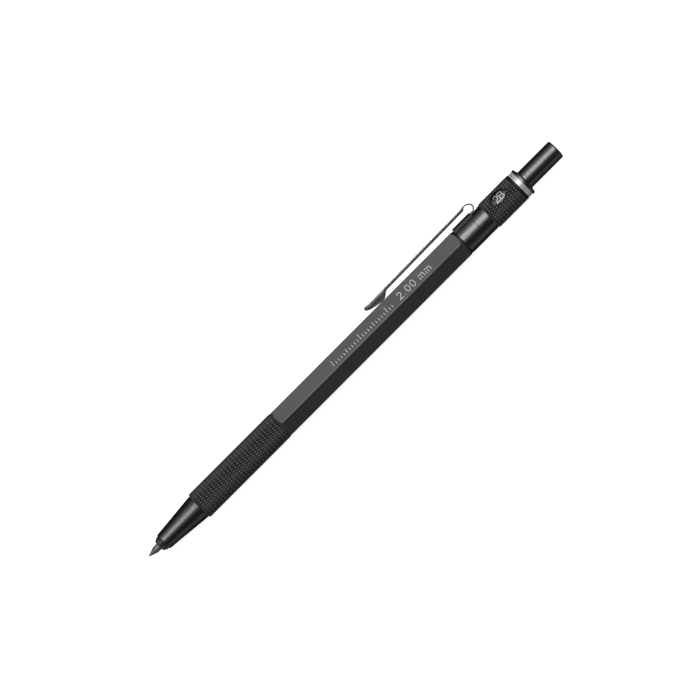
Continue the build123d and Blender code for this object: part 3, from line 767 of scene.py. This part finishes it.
collar = lathe(
    "clip_collar_turned",
    [(117.90, 3.20, 0), (117.90, 3.80, 0.05), (118.06, 3.93, 0.08), (123.585, 3.93, 0.03), (123.585, 3.20, 0)], 192, 0.03, 4,
)
cut_with(collar, bridge_mesh(118.0, 124.4, 123.60, 4.40, 3.90, 42.0), "UNION")
collar.data.shade_smooth()
collar.data.set_sharp_from_angle(angle=math.radians(26))
stand_for(collar, "clip_collar", "body", "collars")

rear = lathe(
    "rear_collar_turned",
    [(123.62, 3.20, 0), (123.62, 3.92, 0.03), (127.50, 3.92, 0.10), (127.50, 3.20, 0)], 192, 0.03, 4,
)
pocket = bmesh.new()
for s in (123.5, 126.75):
    for h in (3.78, 6.0):
        for w in (-1.35, 1.35):
            base = at(s, h, 30.0)
            pocket.verts.new(base + Vector((0, -math.sin(math.radians(30)), math.cos(math.radians(30)))) * w * MM)
bmesh.ops.convex_hull(pocket, input=pocket.verts[:])
cut_with(rear, from_bmesh(pocket, "pocket", None))
rear.data.shade_smooth()
rear.data.set_sharp_from_angle(angle=math.radians(26))
stand_for(rear, "rear_collar", "body", "collars")

# ------------------------------------------------------------------ clip: one folded strip
SHEET = 0.34
LEG_FRONT = 118.6
_d45, _d125, _dk = math.radians(45), math.radians(125), math.radians(180.77)
_apex, _R1, _R2, _R3 = (126.44, 5.11), 1.00, 2.00, 0.40
_A = (_apex[0] - _R1 * (1 - math.sin(_d45)), _apex[1] - _R1 * math.cos(_d45))
_B = (_A[0] + _R1 * (math.sin(_d125) - math.sin(_d45)), _A[1] + _R1 * (math.cos(_d45) - math.cos(_d125)))
_C = (_B[0] + _R2 * (math.sin(_dk) - math.sin(_d125)), _B[1] + _R2 * (math.cos(_d125) - math.cos(_dk)))
_slope = math.tan(math.radians(0.77))
_foot = [(86.6, 5.55), (86.72, 5.33), (87.02, 5.04), (87.81, 4.70), (88.61, 4.46), (89.40, 4.27), (90.50, 4.09), (91.20, 4.015), (91.70, 4.005),
         (92.20, 4.02), (92.60, 4.09), (93.20, 4.37), (93.70, 4.80), (94.15, 5.17), (94.75, 5.30)]


def arm_top(s):
    return _C[1] + SHEET / 2 - (_C[0] - s) * _slope


def interpolate(points, x):
    """Smooth curve through sorted points."""
    if x <= points[0][0]:
        return points[0][1]
    for i in range(len(points) - 1):
        if x <= points[i + 1][0]:
            break
    else:
        return points[-1][1]
    (x0, y0), (x1, y1) = points[i], points[i + 1]

    def slope_at(j):
        a, b = points[max(j - 1, 0)], points[min(j + 1, len(points) - 1)]
        return (b[1] - a[1]) / (b[0] - a[0])

    h = x1 - x0
    f = (x - x0) / h
    m0, m1 = slope_at(i) * h, slope_at(i + 1) * h
    return ((2 * f ** 3 - 3 * f ** 2 + 1) * y0 + (f ** 3 - 2 * f ** 2 + f) * m0 + (-2 * f ** 3 + 3 * f ** 2) * y1 + (f ** 3 - f ** 2) * m1)


def clip_rows():
    """Along the strip: (station, height of the outer face, travel angle, half width, depth of the sides, shoulder radius)."""
    rows = []
    stations = [86.62, 86.635, 86.66, 86.70, 86.75, 86.81, 86.88, 86.96, 87.04, 87.12, 87.2, 87.35, 87.6, 87.9, 88.3, 88.8, 89.4, 90.0, 90.5, 91.0, 91.4, 91.7, 92.0,
                92.3, 92.6, 92.9, 93.2, 93.45, 93.7, 93.95, 94.15, 94.35, 94.55, 94.75, 95.1, 96.0]
    stations += [98.0 + 2.0 * k for k in range(13)] + [122.9, 123.5, 123.75, 123.95, 124.1, 124.25, 124.4, 124.6]
    for s in stations:
        u = max(0.0, 1 - (s - 86.62) / 0.55)
        top = arm_top(s) - 0.42 * (1 - math.sqrt(1 - u * u))
        half = 1.80 - 0.20 * max(0.0, (s - 88.0) / 36.5)
        if s < 87.9:
            half *= max(0.10, math.sqrt(max(0.0, 1 - ((87.9 - s) / 1.3) ** 2)))
        half -= 0.30 * interpolate([(123.3, 0.0), (123.9, 0.30), (124.3, 0.85), (124.6, 1.0)], s)
        depth = top - interpolate(_foot, s) if s < 94.75 else 1.0
        if s > 123.5:
            depth = interpolate([(123.5, 1.0), (123.75, 0.93), (124.0, 0.72), (124.2, 0.50), (124.4, 0.39), (124.6, SHEET + 0.02)], s)
        shoulder = min(0.08, depth * 0.42, half * 0.7)
        if s > 123.5:
            shoulder = interpolate([(123.5, 0.08), (124.6, 0.06)], s)
        rows.append((s, top, math.radians(0.77), half, depth, shoulder))
    flat = (1.30, SHEET + 0.02, 0.06)
    half_t = SHEET / 2

    def bend(start, radius, a0, a1, steps):
        """An arc of the strip's middle line, turning by radius from travel angle a0 to a1."""
        sign = -1 if a1 < a0 else 1
        cx, cy = start[0] + sign * radius * -math.sin(a0), start[1] + sign * radius * math.cos(a0)
        for k in range(1, steps + 1):
            a = a0 + (a1 - a0) * k / steps
            x, y = cx + sign * radius * math.sin(a), cy - sign * radius * math.cos(a)
            rows.append((x - half_t * math.sin(a), y + half_t * math.cos(a), a, *flat))
        return x, y

    p = bend(_C, _R2, math.radians(0.77), math.radians(-55), 12)
    p = bend(p, _R1, math.radians(-55), math.radians(-135), 14)
    run = (_A[1] - 3.98) * math.sqrt(2) - _R3 * math.tan(_d45 / 2)
    a = math.radians(-135)
    p = (p[0] + run * math.cos(a), p[1] + run * math.sin(a))
    rows.append((p[0] - half_t * math.sin(a), p[1] + half_t * math.cos(a), a, *flat))
    p = bend(p, _R3, a, math.radians(-180), 6)
    rows.append((124.35, p[1] - half_t, math.radians(-180), *flat))
    return rows


def clip_mesh():
    nrm = Vector((0, math.cos(math.radians(30)), math.sin(math.radians(30))))
    side = Vector((0, -math.sin(math.radians(30)), math.cos(math.radians(30))))
    origin = Vector((X0, AY, AZ))
    bm = bmesh.new()
    outer, rim_r, inner, rim_l, hollow = [], [], [], [], []
    for s, h, ang, half, depth, sh in clip_rows():
        up = Vector((1, 0, 0)) * -math.sin(ang) + nrm * math.cos(ang)
        slim = min(1.0, max(0.0, (0.80 - depth) / 0.40))
        tilt = 0.12 + 0.30 * slim * (1.0 if s < 120.0 else 0.0)   # the strip's edges are bevelled at the foot

        def put(x, z):
            return bm.verts.new(origin + (Vector((s, 0, 0)) + nrm * h + up * z + side * x) * MM)

        def wall(z):
            d = max(0.0, -z - sh)
            return half - tilt * d - 0.05 * d * d

        rb = min(0.07, (depth - SHEET) * 0.4 + 0.004)
        left = [(-wall(-depth + rb), -depth + rb), (-wall(-(depth + sh) / 2), -(depth + sh) / 2)]
        arcs = [(-half + sh - sh * math.cos(math.radians(15 * k)), -sh + sh * math.sin(math.radians(15 * k))) for k in range(7)]
        top = [(-(half - sh) * 0.94, 0), (-(half - sh) * 0.45, 0.0), (0, 0.0)]
        contour = left + arcs + top
        contour += [(-x, z) for x, z in reversed(contour[:-1])]
        outer.append([put(x, z) for x, z in contour])
        open_here = s >= 87.2 or h < arm_top(s) - 0.5
        foot = wall(-depth)
        if open_here:
            thick = SHEET
            rim = [(foot - 0.3 * rb, -depth + 0.3 * rb), (foot - rb, -depth), (foot - thick + rb, -depth), (foot - thick + 0.3 * rb, -depth + 0.3 * rb)]
            rim_r.append([put(x, z) for x, z in rim])
            rim_l.append([put(-x, z) for x, z in reversed(rim)])
            ri = min(0.12, (depth - thick) * 0.5)
            xi, zi = half - thick, -thick
            right = [(wall(-depth + rb) - thick, -depth + rb), (wall(-(depth + sh) / 2) - thick, (-depth + zi - ri) / 2)]
            right += [(xi - ri + ri * math.cos(math.radians(22.5 * k)), zi - ri + ri * math.sin(math.radians(22.5 * k))) for k in range(5)]
            right += [(xi * 0.5, zi), (0, zi)]
            right += [(-x, z) for x, z in reversed(right[:-1])]
            inner.append([put(x, z) for x, z in right])
        else:
            rim = [(foot - 0.3 * rb, -depth + 0.3 * rb), (foot * 0.80, -depth), (foot * 0.55, -depth), (foot * 0.30, -depth)]
            rim_r.append([put(x, z) for x, z in rim])
            rim_l.append([put(-x, z) for x, z in reversed(rim)])
            inner.append(None)
        hollow.append(open_here)

    def strip(a, b):
        for k in range(len(a) - 1):
            bm.faces.new((a[k], a[k + 1], b[k + 1], b[k]))

    def loop(i):
        return outer[i] + rim_r[i] + (inner[i] or []) + rim_l[i]

    for i in range(len(outer) - 1):
        a, b = loop(i), loop(i + 1)
        if hollow[i] == hollow[i + 1]:
            strip(a + a[:1], b + b[:1])
        else:
            n = len(outer[i]) + len(rim_r[i])
            strip(a[:n], b[:n])
            strip(rim_l[i], rim_l[i + 1])
            bm.faces.new((rim_l[i][-1], outer[i][0], outer[i + 1][0], rim_l[i + 1][-1]))
            bm.faces.new((rim_r[i][-1], rim_l[i][0], rim_l[i + 1][0], rim_r[i + 1][-1]))
            bm.faces.new([rim_r[i + 1][-1]] + inner[i + 1] + [rim_l[i + 1][0]])
    bm.faces.new(loop(0)[::-1])
    bm.faces.new(loop(len(outer) - 1))
    return from_bmesh(bm, "clip_strip", 38.0)


def leg_mesh(s0, s1, half, mid):
    """The strip's leg inside the bridge: eased edges and a blunt lead-in at the front."""
    bm = bmesh.new()
    rows = []
    for s, w, t in ((s0, half - 0.30, 0.08), (s0 + 0.10, half - 0.12, 0.13), (s0 + 0.30, half, SHEET / 2), (s1 - 1.0, half, SHEET / 2), (s1, half, SHEET / 2)):
        e = min(0.05, t * 0.4)
        loop = [(-w, t - e), (-w + e, t), (w - e, t), (w, t - e), (w, -t + e), (w - e, -t), (-w + e, -t), (-w, -t + e)]
        rows.append([bm.verts.new(at(s, math.hypot(x, mid + z), 30.0 + math.degrees(math.atan2(x, mid + z)))) for x, z in loop])
    for a, b in zip(rows, rows[1:]):
        for k in range(8):
            bm.faces.new((a[k], a[(k + 1) % 8], b[(k + 1) % 8], b[k]))
    bm.faces.new(rows[0][::-1])
    bm.faces.new(rows[-1])
    return from_bmesh(bm, "clip_leg_strip", 40.0)


stand_for(leg_mesh(LEG_FRONT, 124.36, 1.27, 3.98), "clip_leg", "body", "clip")

clip = dress(clip_mesh(), "clip")
clip.data.materials.append(MAT["cut_edge_shade"])
for poly in clip.data.polygons:   # the sheared edges of the bend are rougher, and painted very dark as shade
    if poly.center.x > at(124.0, 0, 0)[0] and abs(poly.normal.dot(Vector((0, -0.5, 0.866)))) > 0.15:
        poly.material_index = 1
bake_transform(clip)
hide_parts("clip_bend", "clip_arm")

# ------------------------------------------------------------------ return spring with closed end coils
def coil(name, s0, s1, mean, wire, active, segments=36, around=10):
    """A round-wire compression spring between stations s0 and s1, with one closed turn at each end."""
    first, last = s0 + wire, s1 - wire
    closed = 2.1 * wire
    turns = active + 2
    bm = bmesh.new()
    rings, count = [], int(turns * segments)
    for i in range(count + 1):
        turn = turns * i / count
        if turn < 1:
            s = first + closed * turn
        elif turn > turns - 1:
            s = last - closed * (turns - turn)
        else:
            s = first + closed + (last - first - 2 * closed) * (turn - 1) / active
        a = 360.0 * turn
        centre, outward = at(s, mean, a), at(s, mean + 1, a) - at(s, mean, a)
        outward.normalize()
        rings.append([
            bm.verts.new(centre + (outward * math.cos(2 * math.pi * k / around) + Vector((1, 0, 0)) * math.sin(2 * math.pi * k / around)) * wire * MM)
            for k in range(around)
        ])
    for p, q in zip(rings, rings[1:]):
        for k in range(around):
            bm.faces.new((p[k], p[(k + 1) % around], q[(k + 1) % around], q[k]))
    bm.faces.new(rings[0][::-1])
    bm.faces.new(rings[-1])
    return from_bmesh(bm, name, 40.0)


spring = dress(coil("spring_coil", 18.60, 38.00, 2.15, 0.20, 8), "spring_steel")
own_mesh(spring)
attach(spring, "body")
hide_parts("return_spring")

# ------------------------------------------------------------------ print on the barrel's upper flat
def on_flat(x, y, h):
    return Vector((X0 + x * MM, AY + y * MM, AZ + (FLAT + h) * MM))


TH, TG = 2.10, 0.58
label = print_mesh(
    "lead_size_print", text_strokes("2.00 mm", TH, TG, 95.3, -1.32), 0.19, 0.010, on_flat
)
dress(label, "ink")
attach(label, "body")
ticks = []
for k in range(23):
    x = 70.6 + k
    tall = 1.9 if k % 10 == 0 else (1.35 if k % 5 == 0 else 0.85)
    ticks.append([(x, -1.32), (x, -1.32 + tall)])
rule = print_mesh("rule_print", ticks, 0.14, 0.010, on_flat)
dress(rule, "ink")
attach(rule, "body")

# ------------------------------------------------------------------ finishes of the CAD nodes that stay
KEEP = {
    "clutch_jaw_1": "clutch", "clutch_jaw_2": "clutch", "clutch_jaw_3": "clutch", "clutch_shank": "brass",
    "lead_tube": "brass", "thrust_collar": "brass", "spring_seat": "spring_steel",
    
    "friction_ring": "nitrile", "pointer_cutter": "spring_steel",
}
for node, key in KEEP.items():
    obj = nodes[node]
    for slot in obj.material_slots:
        slot.material = MAT[key]

# ------------------------------------------------------------------ floor, light, camera
# A white sweep lit from straight above by one very wide soft light, with dark walls round it. The
# floor glows a little by itself, as a light table does, so the pencil's shadow stays faint, and
# it is kept out of the mirror reflections, which show the dark walls.
bpy.ops.mesh.primitive_plane_add(size=6.0, location=(0, 0, 0))
floor = bpy.context.object
floor.name = "floor"
fm = Nodes("floor_white")
fm.set(Roughness=0.9, IOR=1.2, Emission_Color=(1, 1, 1, 1), Emission_Strength=0.92)
fm.link(fm.mix(fm.noise(3.0, 2.0), (0.19, 0.19, 0.19), (0.21, 0.21, 0.21)), "Base Color")
floor.data.materials.append(fm.mat)
floor.visible_glossy = False

sun = bpy.data.lights.new("overhead", "SUN")
sun.energy = 3.9
sun.angle = math.radians(40)
sun_obj = bpy.data.objects.new("overhead", sun)
sun_obj.rotation_euler = (math.radians(7), 0, 0)
SCENE.collection.objects.link(sun_obj)

world = bpy.data.worlds.new("studio")
world.use_nodes = True
wt = world.node_tree


def wnode(kind, inputs=None, **props):
    n = wt.nodes.new(kind)
    for k, v in props.items():
        setattr(n, k, v)
    for k, v in (inputs or {}).items():
        if isinstance(v, bpy.types.NodeSocket):
            wt.links.new(v, n.inputs[k])
        else:
            n.inputs[k].default_value = v
    return n


def wrange(value, a0, a1, b0, b1):
    return wnode("ShaderNodeMapRange", {"Value": value, "From Min": a0, "From Max": a1, "To Min": b0, "To Max": b1},
                 interpolation_type="SMOOTHSTEP").outputs["Result"]


def wmul(a, b):
    return wnode("ShaderNodeMath", {0: a, 1: b}, operation="MULTIPLY").outputs[0]


direction = wnode("ShaderNodeTexCoord").outputs["Generated"]
part = wnode("ShaderNodeSeparateXYZ", {"Vector": direction})
# a low pale card in front of the pencil, just below the horizon
card = wmul(wmul(wrange(part.outputs["Y"], -0.35, -0.70, 0.0, 1.0), wrange(part.outputs["Z"], -0.38, 0.10, 1.0, 0.0)),
            wrange(part.outputs["Z"], -0.80, -0.52, 0.0, 1.0))
# the overhead light's spill on the wall behind
spill = wmul(wrange(part.outputs["Z"], 0.50, 1.0, 0.0, 1.0), wrange(part.outputs["Y"], -0.30, 0.30, 0.15, 1.0))
level = wnode("ShaderNodeMath", {0: wmul(card, 0.80), 1: wmul(spill, 1.8)}, operation="ADD").outputs[0]
# two soft panels, off the pencil's two ends, which show only from slanting views
ends = wrange(wnode("ShaderNodeMath", {0: part.outputs["X"]}, operation="ABSOLUTE").outputs[0], 0.42, 0.68, 0.0, 1.0)
panel = wmul(wrange(part.outputs["Z"], 0.10, 0.65, 0.0, 1.0), 2.0)
skirt = wmul(wmul(wrange(part.outputs["Z"], -0.55, -0.20, 0.0, 1.0), wrange(part.outputs["Z"], -0.10, 0.15, 1.0, 0.25)), 0.5)
panel = wmul(panel, wrange(part.outputs["Y"], -0.30, 0.05, 0.2, 1.0))
ends = wmul(ends, wnode("ShaderNodeMath", {0: panel, 1: skirt}, operation="ADD").outputs[0])
level = wnode("ShaderNodeMath", {0: level, 1: ends}, operation="ADD").outputs[0]
level = wnode("ShaderNodeMath", {0: level, 1: 0.005}, operation="ADD").outputs[0]
bg = wt.nodes["Background"]
bg.inputs["Color"].default_value = (1, 1, 1, 1)
wt.links.new(level, bg.inputs["Strength"])
seen = wt.nodes.new("ShaderNodeBackground")
seen.inputs["Color"].default_value = (1, 1, 1, 1)
seen.inputs["Strength"].default_value = 1.0
path = wt.nodes.new("ShaderNodeLightPath")
pick = wt.nodes.new("ShaderNodeMixShader")
wt.links.new(path.outputs["Is Camera Ray"], pick.inputs[0])
wt.links.new(bg.outputs[0], pick.inputs[1])
wt.links.new(seen.outputs[0], pick.inputs[2])
wt.links.new(pick.outputs[0], wt.nodes["World Output"].inputs["Surface"])
SCENE.world = world

# The camera looks square to the pencil, 60 degrees up on the side away from the clip, rolled so
# that the pencil rises to the right at 45 degrees.
roll = math.radians(45.044)
x_axis = Vector((1, 0, 0))
n_axis = Vector((0, math.cos(math.radians(30)), math.sin(math.radians(30))))
out = Vector((0, -0.5, math.sqrt(3) / 2))
right = x_axis * math.cos(roll) - n_axis * math.sin(roll)
up = x_axis * math.sin(roll) + n_axis * math.cos(roll)
SCALE = 3.775                                   # picture elements per mm in a 700 frame
LENS = 400.0
width = 700.0 / SCALE * MM
distance = width * LENS / 36.0
target = at(76.43, 0.951, 30.0)
cam_data = bpy.data.cameras.new("camera")
cam_data.lens = LENS
cam_data.sensor_width = 36.0
cam_data.clip_start = 0.05
cam_data.clip_end = 50.0
cam = bpy.data.objects.new("camera", cam_data)
m = Matrix((right, up, out)).transposed().to_4x4()
m.translation = target + out * distance
cam.matrix_world = m
SCENE.collection.objects.link(cam)
SCENE.camera = cam

SCENE.view_settings.view_transform = "Standard"
SCENE.view_settings.look = "None"
SCENE.view_settings.exposure = 0.0

bpy.context.view_layer.update()
